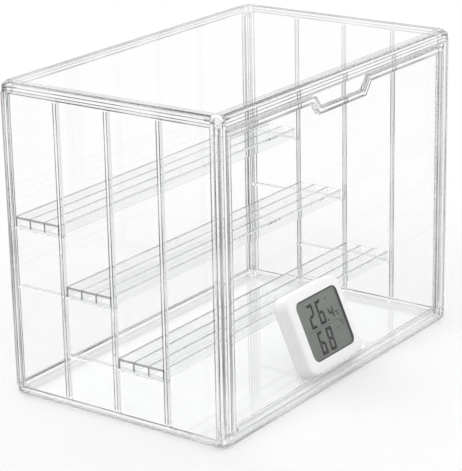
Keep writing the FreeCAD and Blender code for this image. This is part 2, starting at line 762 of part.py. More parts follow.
def gauge_back_shell():
    """Back half of the gauge's case, with the stand's well and the holes for what works through it."""
    body = doc.addObject("PartDesign::Body", "gauge_back_shell")
    outline = sketch_on(body, "back_outline", "XZ_Plane", "-back_shell_front")
    shell_outline(outline, "0")
    block_out = pad(body, outline, "gauge_thickness - back_shell_front", towards_back=True)
    round_edges(body, block_out, "gauge_back_round", on_level("gauge_thickness"))
    inside = sketch_on(body, "back_inside", "XZ_Plane", "-back_inner")
    shell_outline(inside, "gauge_wall")
    pocket(body, inside, "gauge_thickness", other_way=True)
    columns = sketch_on(body, "back_columns", "XZ_Plane", "-back_shell_front")
    screw_circles(columns, "boss_radius")
    pad(body, columns, "back_inner + gauge_wall / 2 - back_shell_front", towards_back=True)
    well_inner = "gauge_thickness - stand_well_depth - stand_well_floor"
    well = sketch_on(body, "stand_well", "XZ_Plane", f"-({well_inner})")
    rectangle(well, "-stand_well_half - stand_well_wall", "stand_well_half + stand_well_wall",
              "stand_well_low - stand_well_floor", "stand_well_high + stand_well_wall")
    pad(body, well, f"back_inner + gauge_wall / 2 - ({well_inner})", towards_back=True)
    recess = sketch_on(body, "stand_recess", "XZ_Plane", "-gauge_thickness")
    rectangle(recess, "-stand_well_half", "stand_well_half", "stand_well_low", "stand_well_high")
    pocket(body, recess, "stand_well_depth", other_way=True)
    pivot = sketch_on(body, "stand_pivot_bore", "YZ_Plane", "-stand_well_half - stand_well_wall")
    circle(pivot, ("stand_pivot_n", "stand_pivot_v"), "stand_pin_radius + pin_seat_clearance")
    pocket(body, pivot, "2 * (stand_well_half + stand_well_wall)", other_way=True)
    holes = sketch_on(body, "back_screw_holes", "XZ_Plane", "-gauge_thickness")
    screw_circles(holes, "screw_radius + screw_clearance")
    pocket(body, holes, "gauge_thickness - back_shell_front", other_way=True)
    sinks = sketch_on(body, "back_screw_sinks", "XZ_Plane", "-gauge_thickness")
    screw_circles(sinks, "screw_head_radius + screw_clearance")
    pocket(body, sinks, "screw_head_sink", other_way=True)
    cover_seat = sketch_on(body, "cover_seat", "XZ_Plane", "-gauge_thickness")
    circle(cover_seat, ("cell_u", "cell_v"), "cover_radius + cover_clearance")
    pocket(body, cover_seat, "cover_thickness + cell_gap", other_way=True)
    cell_hole = sketch_on(body, "cell_hole", "XZ_Plane", "-gauge_thickness")
    circle(cell_hole, ("cell_u", "cell_v"), "cover_boss_radius + cover_clearance")
    pocket(body, cell_hole, "2 * gauge_wall", other_way=True)
    button_hole = sketch_on(body, "button_hole", "XZ_Plane", "-gauge_thickness")
    circle(button_hole, ("-button_u", "button_v"), "button_radius + button_gap")
    pocket(body, button_hole, "2 * gauge_wall", other_way=True)
    vents = sketch_on(body, "vents", "XY_Plane", "gauge_height")
    for index in range(int(number("vent_count"))):
        middle = f"({index} - (vent_count - 1) / 2) * vent_pitch"
        rectangle(vents, f"{middle} - vent_width / 2", f"{middle} + vent_width / 2",
                  "back_shell_front + seam", "back_shell_front + seam + vent_length")
    pocket(body, vents, "2 * gauge_wall")
    lean_back(body)
    keep(body, "gauge_back_shell")


def gauge_display():
    """Clear window, display panel behind it and the circuit board that carries the display."""
    window = doc.addObject("PartDesign::Body", "gauge_window")
    outline = sketch_on(window, "window_outline", "XZ_Plane", "-window_recess")
    rounded_rectangle(outline, "window_gap - window_width / 2", "window_width / 2 - window_gap",
                      "window_low + window_gap", "window_high - window_gap", "window_corner - window_gap")
    pad(window, outline, "gauge_wall - window_recess", towards_back=True)
    lean_back(window)
    keep(window, "gauge_window")
    display_half = "window_width / 2 + display_overlap"
    panel = gauge_block("gauge_display_panel", (f"-({display_half})", display_half),
                        ("window_low - display_overlap", "window_high + display_overlap"),
                        ("display_front", "display_front + display_thickness"))
    keep(panel, "gauge_display_panel")
    board = gauge_block("gauge_circuit_board", ("-board_width / 2", "board_width / 2"),
                        ("board_low", "board_low + board_height"), ("board_front", "board_back"))
    keep(board, "gauge_circuit_board")


def gauge_electronics():
    """Sensor, switch and coin cell with its holder and contact, all on the back of the board."""
    sensor = gauge_block("gauge_sensor", ("-sensor_size / 2", "sensor_size / 2"),
                         ("sensor_v - sensor_size / 2", "sensor_v + sensor_size / 2"),
                         ("board_back", "board_back + sensor_height"))
    keep(sensor, "gauge_sensor")
    switch_case = gauge_block("switch_case", ("-button_u - switch_size / 2", "switch_size / 2 - button_u"),
                              ("button_v - switch_size / 2", "button_v + switch_size / 2"),
                              ("board_back", "board_back + switch_height"))
    plunger = gauge_turned("switch_plunger", [("0", "board_back + switch_height / 2"),
                                              ("plunger_radius", "board_back + switch_height / 2"),
                                              ("plunger_radius", "plunger_top"), ("0", "plunger_top")],
                           "-button_u", "button_v")
    keep(fuse("gauge_push_switch", [switch_case, plunger]), "gauge_push_switch")
    holder_inner = "cell_radius + holder_clearance"
    holder = gauge_turned("gauge_cell_holder", [("0", "board_back"), ("holder_radius", "board_back"),
                                                ("holder_radius", "cell_back"), (holder_inner, "cell_back"),
                                                (holder_inner, "holder_seat"), ("0", "holder_seat")],
                          "cell_u", "cell_v")
    keep(holder, "gauge_cell_holder")
    contact = gauge_block("gauge_cell_contact", ("cell_u - contact_width / 2", "cell_u + contact_width / 2"),
                          ("cell_v - contact_length / 2", "cell_v + contact_length / 2"),
                          ("holder_seat", "holder_seat + contact_thickness"))
    keep(contact, "gauge_cell_contact")
    cell = gauge_turned("gauge_coin_cell", [("0", "cell_front"), ("cell_radius - holder_wall", "cell_front"),
                                            ("cell_radius - holder_wall", "cell_front + holder_wall / 2"),
                                            ("cell_radius - pin_chamfer", "cell_front + holder_wall / 2"),
                                            ("cell_radius", "cell_front + holder_wall / 2 + pin_chamfer"),
                                            ("cell_radius", "cell_back - pin_chamfer"),
                                            ("cell_radius - pin_chamfer", "cell_back"), ("0", "cell_back")],
                        "cell_u", "cell_v")
    keep(cell, "gauge_coin_cell")


def gauge_battery_cover():
    """Round snap-in cover over the coin cell."""
    boss_inner = "cover_boss_radius - cover_boss_wall"
    cover = gauge_turned("gauge_battery_cover", [("0", "cover_seat"), (boss_inner, "cover_seat"),
                                                 (boss_inner, "cover_boss_front"),
                                                 ("cover_boss_radius", "cover_boss_front"),
                                                 ("cover_boss_radius", "cover_seat"),
                                                 ("cover_radius", "cover_seat"),
                                                 ("cover_radius", "gauge_thickness - pin_chamfer"),
                                                 ("cover_radius - pin_chamfer", "gauge_thickness"),
                                                 ("0", "gauge_thickness")],
                         "cell_u", "cell_v")
    keep(cover, "gauge_battery_cover")


def gauge_mode_button():
    """Button on the back, kept in by its flange, with a stem that reaches the switch."""
    flange = "button_radius + button_flange"
    back = "gauge_thickness + button_proud"
    button = gauge_turned("gauge_mode_button", [("0", "button_tip"), ("plunger_radius", "button_tip"),
                                                ("plunger_radius", "button_flange_back - button_flange_height"),
                                                (flange, "button_flange_back - button_flange_height"),
                                                (flange, "button_flange_back"),
                                                ("button_radius", "button_flange_back"),
                                                ("button_radius", f"{back} - pin_chamfer"),
                                                ("button_radius - pin_chamfer", back), ("0", back)],
                          "-button_u", "button_v")
    keep(button, "gauge_mode_button")


def gauge_screws():
    """Four screws from the back shell into the front shell's bosses."""
    seat = "gauge_thickness - screw_head_sink"
    tip = "front_shell_depth - screw_bite"
    head = f"{seat} + screw_head_height"
    screws = []
    for side, sign in SIDES.items():
        for height in ("screw_low", "screw_high"):
            profile = [("0", tip), ("screw_radius - pin_chamfer", tip), ("screw_radius", f"{tip} + pin_chamfer"),
                       ("screw_radius", seat), ("screw_head_radius", seat),
                       ("screw_head_radius", f"{head} - pin_chamfer"), ("screw_head_radius - pin_chamfer", head),
                       ("0", head)]
            screws.append(gauge_turned(f"gauge_{side}_{height}", profile, f"{sign} * screw_u", height))
    group = doc.addObject("Part::Compound", "gauge_screws")
    group.Links = screws
    keep(group, "gauge_screws")


def gauge_stand():
    """Fold-out leg on a pin, hanging upright from its pivot to the floor."""
    half = "stand_width / 2"
    half_thickness = "stand_thickness / 2"
    leg = block("stand_leg", (f"-{half}", half), (f"-{half_thickness}", half_thickness), ("-stand_length", "0"))
    barrel = rod("stand_barrel", "stand_barrel_radius", (f"-{half}", "0", "0"), "+X", "stand_width")
    foot = rod("stand_foot", "stand_foot_radius", (f"-{half}", "0", "-stand_length"), "+X", "stand_width")
    bore = rod("stand_bore", "stand_pin_radius + stand_pin_clearance", (f"-{half} - overcut", "0", "0"), "+X",
               "stand_width + 2 * overcut")
    stand = cut("gauge_stand", fuse("stand_moulding", [leg, barrel, foot]), [bore])
    place(stand, ("gauge_x", "stand_pivot_y", "stand_pivot_z"))
    keep(stand, "gauge_stand")
    pin_half = "stand_well_half + stand_well_wall"
    pin = straight_pin("gauge_stand_pin", "stand_pin_radius", f"2 * ({pin_half})")
    place(pin, (f"gauge_x - ({pin_half})", "stand_pivot_y", "stand_pivot_z"), (0, 1, 0), "90")
    keep(pin, "gauge_stand_pin")


def check_and_write():
    """Stop on any failed object, then write each sub-part's shape."""
    doc.recompute()
    failed = [item.Name for item in doc.Objects if "Invalid" in item.State or "Error" in item.State]
    if failed:
        raise RuntimeError(f"objects that failed: {failed}")
    for item in doc.Objects:
        if item.TypeId == "PartDesign::Pocket" and item.Shape.Volume >= item.BaseFeature.Shape.Volume:
            raise RuntimeError(f"{item.Name} cuts nothing")
    for item in subparts:
        if item.Shape.isNull() or not item.Shape.isValid():
            raise RuntimeError(f"{item.Label} has no valid shape")
    os.makedirs("parts", exist_ok=True)
    for item in subparts:
        item.Shape.exportStep(f"parts/{item.Label}.step")
        print(f"{item.Label}: {len(item.Shape.Solids)} solid, {item.Shape.Volume:.1f} mm3")


panel_envelope = rounded_box("panel_envelope", "foot_height", "case_height", "edge_round")
corner_envelope = rounded_box("corner_envelope", "0", "case_height", "corner_round")
base_panel(panel_envelope)
top_panel(panel_envelope)
back_panel(panel_envelope)
for side_name, side_sign in SIDES.items():
    side_panel(side_name, side_sign, panel_envelope)
    for end_name, end_sign in ENDS.items():
        for corner_level in ("top", "bottom"):
            corner_connector(side_name, side_sign, end_name, end_sign, corner_level, corner_envelope)
front_door()
for side_name, side_sign in SIDES.items():
    hinge_pin(side_name, side_sign)
for shelf_index, shelf_name in enumerate(SHELVES):
    shelf(shelf_index, shelf_name)
gauge_front_shell()
gauge_back_shell()
gauge_display()
gauge_electronics()
gauge_battery_cover()
gauge_mode_button()
gauge_screws()
gauge_stand()
check_and_write()
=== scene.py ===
"""Mini greenhouse: the clear case, its door, shelves and climate gauge, dressed and set in a pale studio."""
import logging
import math
from collections.abc import Mapping, Sequence
from dataclasses import dataclass
from enum import Enum
from functools import cache, reduce

import bpy
import numpy as np
from mathutils import Matrix, Vector


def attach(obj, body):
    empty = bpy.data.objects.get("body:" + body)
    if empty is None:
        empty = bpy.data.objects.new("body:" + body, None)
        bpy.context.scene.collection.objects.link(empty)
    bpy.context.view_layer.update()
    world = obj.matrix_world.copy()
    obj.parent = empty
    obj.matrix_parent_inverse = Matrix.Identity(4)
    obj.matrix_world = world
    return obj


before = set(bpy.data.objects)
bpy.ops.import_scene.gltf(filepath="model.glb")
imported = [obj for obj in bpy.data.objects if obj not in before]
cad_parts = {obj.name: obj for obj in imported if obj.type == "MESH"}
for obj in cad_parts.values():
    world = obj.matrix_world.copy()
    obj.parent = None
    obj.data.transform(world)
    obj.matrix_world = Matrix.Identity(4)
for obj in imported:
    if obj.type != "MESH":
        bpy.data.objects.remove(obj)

LOG = logging.getLogger("mini_greenhouse")
MM = 0.001
Colour = tuple[float, float, float]
Triple = tuple[float, float, float]
Point = tuple[float, float]


class Signal:
    """A shader socket that takes part in Python arithmetic; each operation adds one Math node."""

    def __init__(self, draft: "Draft", socket: bpy.types.NodeSocket) -> None:
        """Wrap one output socket of a draft's node tree."""
        self.draft = draft
        self.socket = socket

    def _math(self, operation: str, *values: "Signal | float") -> "Signal":
        """Add a Math node.

        Args:
            operation: Blender's name of the operation.
            values: the operands in order.

        Returns:
            The node's result.
        """
        return self.draft.signal("ShaderNodeMath", {"operation": operation}, dict(enumerate(values)))

    def __add__(self, other: "Signal | float") -> "Signal":
        """Sum."""
        return self._math("ADD", self, other)

    def __sub__(self, other: "Signal | float") -> "Signal":
        """Difference."""
        return self._math("SUBTRACT", self, other)

    def __rsub__(self, other: float) -> "Signal":
        """Difference from a number."""
        return self._math("SUBTRACT", other, self)

    def __mul__(self, other: "Signal | float") -> "Signal":
        """Product."""
        return self._math("MULTIPLY", self, other)

    __radd__ = __add__
    __rmul__ = __mul__

    def least(self, other: "Signal | float") -> "Signal":
        """The smaller of two values."""
        return self._math("MINIMUM", self, other)

    def most(self, other: "Signal | float") -> "Signal":
        """The larger of two values."""
        return self._math("MAXIMUM", self, other)

    def size(self) -> "Signal":
        """The value without its sign."""
        return self._math("ABSOLUTE", self)

    def root(self) -> "Signal":
        """Square root."""
        return self._math("SQRT", self)

    def fold(self, half: float) -> "Signal":
        """Distance to the nearest multiple of twice the given half pitch."""
        return self._math("PINGPONG", self, half)

    def wave(self) -> "Signal":
        """Sine of the value in radians."""
        return self._math("SINE", self)

    def rise(self, low: float, high: float) -> "Signal":
        """Smooth step.

        Args:
            low: value that gives 0.
            high: value that gives 1; below low, the step falls instead.

        Returns:
            The step, from 0 to 1.
        """
        step = self.draft.signal("ShaderNodeMapRange", {"interpolation_type": "SMOOTHSTEP", "clamp": True},
                                 {"Value": self, "From Min": min(low, high), "From Max": max(low, high)})
        return 1.0 - step if high < low else step

    def span(self, low: float, high: float) -> "Signal":
        """Stretch 0 to 1 onto a range."""
        return self * (high - low) + low


class Draft:
    """One material or world while its nodes are being laid out."""

    COLOUR_INPUTS = (6, 7)
    COLOUR_OUTPUT = 2

    def __init__(self, tree: bpy.types.NodeTree) -> None:
        """Take over an emptied node tree."""
        self.tree = tree
        self.tree.nodes.clear()

    def node(self, kind: str, settings: Mapping[str, object], sockets: Mapping[str | int, object]) -> bpy.types.Node:
        """Add a node, its settings first, then its sockets' values or links.

        Args:
            kind: Blender's type name of the node.
            settings: attributes of the node, in order.
            sockets: value, socket or signal by the input's name or number.

        Returns:
            The new node.
        """
        node = self.tree.nodes.new(kind)
        for name, value in settings.items():
            setattr(node, name, value)
        for name, value in sockets.items():
            source = value.socket if isinstance(value, Signal) else value
            if isinstance(source, bpy.types.NodeSocket):
                self.tree.links.new(source, node.inputs[name])
            else:
                node.inputs[name].default_value = source
        return node

    def signal(self, kind: str, settings: Mapping[str, object], sockets: Mapping[str | int, object],
               output: str | int = 0) -> Signal:
        """Add a node and wrap one of its outputs.

        Args:
            kind: Blender's type name of the node.
            settings: attributes of the node.
            sockets: value, socket or signal by the input's name or number.
            output: name or number of the output to wrap.

        Returns:
            The output as a signal.
        """
        return Signal(self, self.node(kind, settings, sockets).outputs[output])

    def place(self) -> bpy.types.NodeSocket:
        """Object coordinates, in metres in the case's own frame."""
        return self.node("ShaderNodeTexCoord", {}, {}).outputs["Object"]

    def axes(self, vector: bpy.types.NodeSocket) -> tuple[Signal, Signal, Signal]:
        """Split a vector into its three numbers."""
        split = self.node("ShaderNodeSeparateXYZ", {}, {0: vector})
        return Signal(self, split.outputs[0]), Signal(self, split.outputs[1]), Signal(self, split.outputs[2])

    def facing(self) -> tuple[Signal, Signal, Signal]:
        """How squarely the surface faces along each axis, from 0 to 1."""
        x, y, z = self.axes(self.node("ShaderNodeTexCoord", {}, {}).outputs["Normal"])
        return x.size(), y.size(), z.size()

    def stretched(self, vector: bpy.types.NodeSocket, scale: Triple,
                  turn: Triple = (0.0, 0.0, 0.0)) -> bpy.types.NodeSocket:
        """Turn and stretch coordinates with a Mapping node.

        Args:
            vector: coordinates.
            scale: factor along each axis.
            turn: turn about each axis, in radians.

        Returns:
            The new coordinates.
        """
        return self.node("ShaderNodeMapping", {"vector_type": "POINT"},
                         {"Vector": vector, "Rotation": turn, "Scale": scale}).outputs[0]

    def noise(self, vector: bpy.types.NodeSocket, size: float, detail: float = 2.0) -> Signal:
        """Smooth noise from 0 to 1.

        Args:
            vector: coordinates.
            size: width of a typical blob, in metres.
            detail: number of finer layers.

        Returns:
            The noise.
        """
        return self.signal("ShaderNodeTexNoise", {}, {"Vector": vector, "Scale": 1.0 / size, "Detail": detail})

    def blend(self, factor: Signal, first: Colour | bpy.types.NodeSocket,
              second: Colour | bpy.types.NodeSocket) -> bpy.types.NodeSocket:
        """Mix two colours.

        Args:
            factor: 0 gives the first colour and 1 the second.
            first: colour or colour socket.
            second: colour or colour socket.

        Returns:
            The mixed colour.
        """
        ends = {number: colour if isinstance(colour, bpy.types.NodeSocket) else (*colour, 1.0)
                for number, colour in zip(self.COLOUR_INPUTS, (first, second))}
        mix = self.node("ShaderNodeMix", {"data_type": "RGBA"}, {"Factor": factor, **ends})
        return mix.outputs[self.COLOUR_OUTPUT]

    def bump(self, height: Signal, distance: float, strength: float = 1.0) -> bpy.types.NodeSocket:
        """Turn a height into a normal.

        Args:
            height: height from 0 to 1.
            distance: what a height of 1 stands for, in metres.
            strength: share of the bump that is used.

        Returns:
            The bumped normal.
        """
        bump = self.node("ShaderNodeBump", {}, {"Height": height, "Distance": distance, "Strength": strength})
        return bump.outputs[0]

    def mixed(self, factor: Signal | bpy.types.NodeSocket, first: bpy.types.NodeSocket,
              second: bpy.types.NodeSocket) -> bpy.types.NodeSocket:
        """Mix two shaders: a factor of 0 gives the first and 1 the second."""
        return self.node("ShaderNodeMixShader", {}, {0: factor, 1: first, 2: second}).outputs[0]

    def principled(self, sockets: Mapping[str, object]) -> bpy.types.NodeSocket:
        """Add the surface shader and give its output."""
        return self.node("ShaderNodeBsdfPrincipled", {}, sockets).outputs[0]

    def show(self, surface: bpy.types.NodeSocket, inside: bpy.types.NodeSocket | None = None) -> None:
        """Send a shader to the material's output.

        Args:
            surface: shader of the surface.
            inside: shader of what the surface encloses, if it has one.
        """
        self.node("ShaderNodeOutputMaterial", {}, {"Surface": surface} | ({"Volume": inside} if inside else {}))


@dataclass(frozen=True)
class GaugeSeat:
    """Where the gauge stands: its lower front edge and how far it leans back."""

    across: float = 6.6 * MM
    depth: float = -92.1 * MM
    height: float = 9.19355 * MM
    lean: float = math.radians(24.0)

    def local(self, draft: Draft) -> tuple[Signal, Signal, Signal]:
        """Coordinates on the upright gauge.

        Args:
            draft: material that needs them.

        Returns:
            Across its face, depth behind its face and height up its face, in metres.
        """
        mapped = draft.node("ShaderNodeMapping", {"vector_type": "TEXTURE"},
                            {"Vector": draft.place(), "Location": (self.across, self.depth, self.height),
                             "Rotation": (-self.lean, 0.0, 0.0)})
        return draft.axes(mapped.outputs[0])

    def world(self, across: np.ndarray, depth: np.ndarray, height: np.ndarray) -> np.ndarray:
        """Places in the case's frame: the upright place turned back about the lower front edge.

        Args:
            across: places across the face.
            depth: places behind the face.
            height: places up the face.

        Returns:
            An array of points, one more axis than the inputs.
        """
        sine, cosine = math.sin(self.lean), math.cos(self.lean)
        return np.stack([self.across + across, self.depth + height * sine + depth * cosine,
                         self.height + height * cosine - depth * sine], axis=-1)


SEAT = GaugeSeat()


class Finish:
    """A finish that is laid out once and then shared."""

    name: str

    def lay_out(self, draft: Draft) -> None:
        """Add this finish's nodes."""
        raise NotImplementedError

    @cache
    def material(self) -> bpy.types.Material:
        """Give the finish's material, made at the first call.

        Returns:
            The material.
        """
        material = bpy.data.materials.new(self.name)
        material.use_nodes = True
        self.lay_out(Draft(material.node_tree))
        return material


# How squarely a face must look along an axis: a sheet's broad faces, its narrow edges and rounded corners
BROAD_FACE: Point = (0.85, 0.95)
NARROW_FACE: Point = (0.85, 0.35)
ROUNDED_FACE: Point = (0.99, 0.93)


class Broad(Enum):
    """The way that a clear sheet's broad faces look: across, to the front and back, or up and down."""

    ACROSS = 0
    DEPTH = 1
    HEIGHT = 2


@dataclass(frozen=True)
class ClearPlastic(Finish):
    """Polished clear plastic: faint moulding ripple, fine wiping scuffs, and painted shade on its narrow edges and
    rounded corners; lamps reach through it.
    """

    name: str = "case_clear"
    broad: Broad | None = None
    clean: Colour = (0.998, 0.999, 0.999)
    cloudy: Colour = (0.988, 0.991, 0.992)
    # edge and round are painted shade: greyer narrow faces and rounded corners stand in for the dark refraction at
    # the plastic's edges.
    edge: Colour = (0.66, 0.675, 0.68)
    edge_from: float = 0.0
    edge_blend: float = 2.0 * MM
    round: Colour = (0.85, 0.86, 0.865)
    # line and lines: dark lines painted along the edges as shade, standing in for the edges' refraction; line_depth
    # also makes them real shallow grooves.
    line: Colour = (0.04, 0.042, 0.044)
    lines: tuple[float, ...] = (0.8 * MM, 4.2 * MM, 8.0 * MM)
    line_half: float = 0.62 * MM
    line_core: float = 0.75
    line_depth: float = 0.04 * MM
    line_fade: Point = (0.65, 1.0)
    fade_size: float = 0.05
    fade_limits: Point = (0.3, 0.6)
    case_half: Triple = (160.0 * MM, 100.0 * MM, 125.0 * MM)
    skin: Point = (0.9 * MM, 0.5 * MM)
    pane_shade: Colour = (0.965, 0.968, 0.968)
    rim_shade: Colour = (0.78, 0.785, 0.785)
    rim_width: float = 8.0 * MM
    rim_blend: float = 1.0 * MM
    absorption: float = 1.4
    gloss: float = 0.85
    refraction: float = 1.46
    pane_gloss: float = 0.35
    pane_refraction: float = 0.0
    haze_size: float = 0.06
    haze_limits: Point = (0.35, 0.75)
    scuff: float = 0.03
    scuff_size: float = 0.012
    scuff_detail: float = 4.0
    scuff_stretch: Triple = (1.0, 1.0, 14.0)
    scuff_turn: Triple = (0.5, 0.3, 0.2)
    scuff_limits: Point = (0.58, 0.75)
    ripple: float = 0.00002
    ripple_size: float = 0.035

    def shade_and_groove_lines(self, draft: Draft, place: bpy.types.NodeSocket) -> tuple[Signal, Signal]:
        """Find the painted shade lines, also shallow grooves, that run along the case's edges on its outer faces.

        The three distances to the case's outer faces are put in order: the least tells whether a point lies on an
        outer face, and the middle one is how far it lies from the nearest edge of the case.

        Args:
            draft: the material.
            place: object coordinates.

        Returns:
            The distance from the nearest edge, and 1 on a line.
        """
        x, y, z = draft.axes(place)
        half_x, half_y, half_z = self.case_half
        a, b, c = half_x - x.size(), half_y - y.size(), half_z - (z - half_z).size()
        from_edge = a.least(b).most(a.most(b).least(c))
        outside = a.least(b).least(c).rise(*self.skin)
        return from_edge, self.drawn(from_edge) * outside

    def rim(self, from_edge: Signal) -> Signal:
        """1 on the rims, which bend lamp light away from what lies behind them."""
        return from_edge.rise(self.rim_width, self.rim_width - self.rim_blend)

    def drawn(self, distance: Signal) -> Signal:
        """Draw a fine line at each of the finish's distances.

        Args:
            distance: distance from the edge that the lines follow.

        Returns:
            1 on a line.
        """
        return reduce(Signal.most, [self.stripe(distance - line) for line in self.lines])

    def stripe(self, distance: Signal) -> Signal:
        """1 where the distance is near nought."""
        return distance.size().rise(self.line_half, self.line_half * self.line_core)

    def tint(self, draft: Draft, place: bpy.types.NodeSocket, from_edge: Signal) -> bpy.types.NodeSocket:
        """Colour the plastic: a faint haze, plus painted shade that greys the narrow edges and the rounded corners.

        Args:
            draft: the material.
            place: object coordinates.
            from_edge: distance from the edge that the lines follow.

        Returns:
            The colour without the lines.
        """
        tint = draft.blend(draft.noise(place, self.haze_size).rise(*self.haze_limits), self.clean, self.cloudy)
        facing = draft.facing()
        if self.broad is not None:
            narrow = facing[self.broad.value].rise(*NARROW_FACE)
            if self.edge_from > 0.0:
                narrow = narrow * from_edge.rise(self.edge_from, self.edge_from + self.edge_blend)
            tint = draft.blend(narrow, tint, self.edge)
        return draft.blend(reduce(Signal.most, facing).rise(*ROUNDED_FACE), tint, self.round)

    def clear(self, draft: Draft, look: Mapping[str, object], refraction: float,
              gloss: float) -> bpy.types.NodeSocket:
        """Add the clear shader.

        Args:
            draft: the material.
            look: tint, roughness, clearness and normal.
            refraction: how strongly it bends light.
            gloss: share of its mirror reflection that is kept.

        Returns:
            The shader.
        """
        return draft.principled({**look, "IOR": refraction, "Specular Tint": (gloss, gloss, gloss, 1.0)})

    def lay_out(self, draft: Draft) -> None:
        """Clear shader whose tint, painted shade lines, polish and ripple vary, left open to rays from lamps.

        Args:
            draft: the material.
        """
        place = draft.place()
        from_edge, lines = self.shade_and_groove_lines(draft, place)
        fade = draft.noise(place, self.fade_size).rise(*self.fade_limits).span(*self.line_fade)
        wiped = draft.stretched(place, self.scuff_stretch, self.scuff_turn)
        scuffs = draft.noise(wiped, self.scuff_size, self.scuff_detail).rise(*self.scuff_limits)
        relief = draft.noise(place, self.ripple_size, 0.0) * (self.ripple / self.line_depth) - lines
        # The lines darken the Base Color as painted shade and dent the normal as shallow grooves.
        look = {"Base Color": draft.blend(lines * fade, self.tint(draft, place, from_edge), self.line),
                "Roughness": scuffs * self.scuff, "Transmission Weight": 1.0,
                "Normal": draft.bump(relief, self.line_depth)}
        surface = self.clear(draft, look, self.refraction, self.gloss)
        rim = self.rim(from_edge)
        if self.pane_refraction > 0.0:
            surface = draft.mixed(rim, self.clear(draft, look, self.pane_refraction, self.pane_gloss), surface)
        shades = [draft.node("ShaderNodeBsdfTransparent", {}, {"Color": (*shade, 1.0)}).outputs[0]
                  for shade in (self.pane_shade, self.rim_shade)]
        lamp_ray = draft.node("ShaderNodeLightPath", {}, {}).outputs["Is Shadow Ray"]
        inside = draft.node("ShaderNodeVolumeAbsorption", {},
                            {"Color": (0.0, 0.0, 0.0, 1.0), "Density": self.absorption})
        draft.show(draft.mixed(lamp_ray, surface, draft.mixed(rim, *shades)), inside.outputs[0])


@dataclass(frozen=True)
class SidePlastic(ClearPlastic):
    """Clear plastic of the side walls: painted shade lines also run up both sides of each rib."""

    first_rib: float = -46.775 * MM
    rib_pitch: float = 47.025 * MM
    rib_half: float = 1.3 * MM
    rib_from: Point = (9.0 * MM, 10.0 * MM)

    def shade_and_groove_lines(self, draft: Draft, place: bpy.types.NodeSocket) -> tuple[Signal, Signal]:
        """Find the painted shade lines along the case's edges and, on the outer face, those beside the ribs.

        Args:
            draft: the material.
            place: object coordinates.

        Returns:
            The distance from the nearest edge, and 1 on a line.
        """
        from_edge, lines = super().shade_and_groove_lines(draft, place)
        x, y, _ = draft.axes(place)
        beside = self.stripe((y - self.first_rib).fold(self.rib_pitch / 2) - self.rib_half)
        outside = (self.case_half[0] - x.size()).rise(*self.skin) * from_edge.rise(*self.rib_from)
        return from_edge, lines.most(beside * outside)


@dataclass(frozen=True)
class ShelfPlastic(ClearPlastic):
    """Clear plastic of the shelves: a painted shade stripe lies over each of the webs that run along a plank."""

    middle: float = -23.2625 * MM
    pitch: float = 47.025 * MM

    def shade_and_groove_lines(self, draft: Draft, place: bpy.types.NodeSocket) -> tuple[Signal, Signal]:
        """Find the webs: the distance from a plank's middle line, which is the same for every step.

        Args:
            draft: the material.
            place: object coordinates.

        Returns:
            The distance from the plank's middle line, and 1 over a web.
        """
        # The stripes over the webs are painted shade.
        from_middle = (draft.axes(place)[1] - self.middle).fold(self.pitch / 2)
        return from_middle, self.drawn(from_middle)


@dataclass(frozen=True)
class DoorPlastic(ClearPlastic):
    """Clear plastic of the door: painted shade lines follow its raised rim, also around the finger notch."""

    half_width: float = 151.2 * MM
    levels: Point = (8.5 * MM, 238.0 * MM)
    notch_low: float = 228.0 * MM
    notch_half: float = 29.5 * MM
    notch_lean: Point = (0.7809, 0.6247)
    step_from: Point = (3.0 * MM, 4.0 * MM)
    step_depth: Point = (-98.8 * MM, -98.4 * MM)
    low_levels: Point = (14.0 * MM, 20.0 * MM)
    low_fade: Point = (0.45, 1.0)

    def shade_and_groove_lines(self, draft: Draft, place: bpy.types.NodeSocket) -> tuple[Signal, Signal]:
        """Find the painted shade lines along the rim, from the distance inwards from the outline; they are fainter
        low down.

        The inner half of the upright steps, where the rim drops to the pane, is painted as a shade line too.

        Args:
            draft: the material.
            place: object coordinates.

        Returns:
            The distance from the door's outline, and 1 on a line.
        """
        x, y, z = draft.axes(place)
        across = x.size()
        slope = (across - self.notch_half) * self.notch_lean[0] - (z - self.notch_low) * self.notch_lean[1]
        notch = slope.most(self.notch_low - z)
        inward = (self.half_width - across).least(self.levels[1] - z).least(z - self.levels[0]).least(notch)
        facing = draft.facing()
        fade = z.rise(*self.low_levels).span(*self.low_fade)
        drawn = self.drawn(inward) * facing[Broad.DEPTH.value].rise(*BROAD_FACE) * fade
        # Painted shade: the upright step faces are darkened like a line.
        step = facing[Broad.ACROSS.value].rise(*BROAD_FACE) * inward.rise(*self.step_from) * y.rise(*self.step_depth)
        return inward, drawn.most(step)


